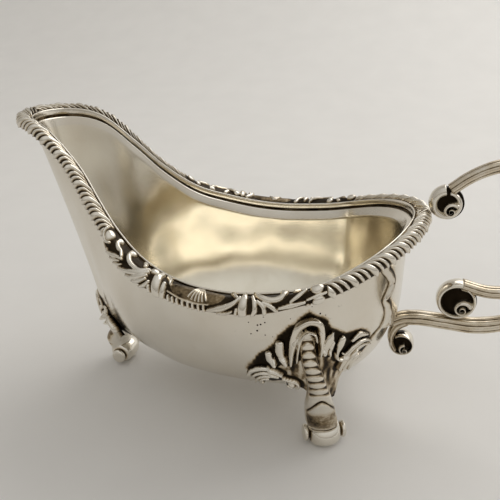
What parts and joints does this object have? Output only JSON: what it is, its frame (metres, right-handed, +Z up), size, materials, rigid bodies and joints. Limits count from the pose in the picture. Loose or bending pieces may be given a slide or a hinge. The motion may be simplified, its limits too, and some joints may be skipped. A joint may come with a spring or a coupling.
{
  "type": "sauce boat",
  "caption": "Silver sauce boat: a deep oval bowl with a raised pouring spout, a gadroon and shell border, a scroll handle and shell-headed legs",
  "frame": {"origin": "on the ground, under the middle of the whole length and on the plane of symmetry", "axes": "+Z up, the spout points along -X and the handle along +X, the plane of symmetry is XZ"},
  "size_m": [0.1871, 0.098, 0.1009],
  "materials": {
    "raised_silver": "polished sterling silver sheet, hand planished, with fine wear scratches",
    "cast_silver": "polished cast sterling silver, dark tarnish left in the recesses"
  },
  "bodies": {
    "root": {"bowl": "raised_silver", "rim_wire": "raised_silver", "gadroons_spout_near": "cast_silver", "gadroons_spout_far": "cast_silver", "scroll_front_near": "cast_silver", "scroll_front_far": "cast_silver", "border_shell_near": "cast_silver", "border_shell_far": "cast_silver", "scroll_rear_near": "cast_silver", "scroll_rear_far": "cast_silver", "gadroons_rear_near": "cast_silver", "gadroons_rear_far": "cast_silver", "shell_front": "cast_silver", "shell_rear_near": "cast_silver", "shell_rear_far": "cast_silver", "leg_front": "cast_silver", "leg_rear_near": "cast_silver", "leg_rear_far": "cast_silver", "handle_back_plate": "cast_silver", "handle_top_curl": "cast_silver", "handle_main_scroll": "cast_silver", "handle_inner_curl": "cast_silver", "handle_lower_arm": "cast_silver", "handle_foot_stem": "cast_silver", "handle_foot_curl": "cast_silver"}
  },
  "joints": []
}
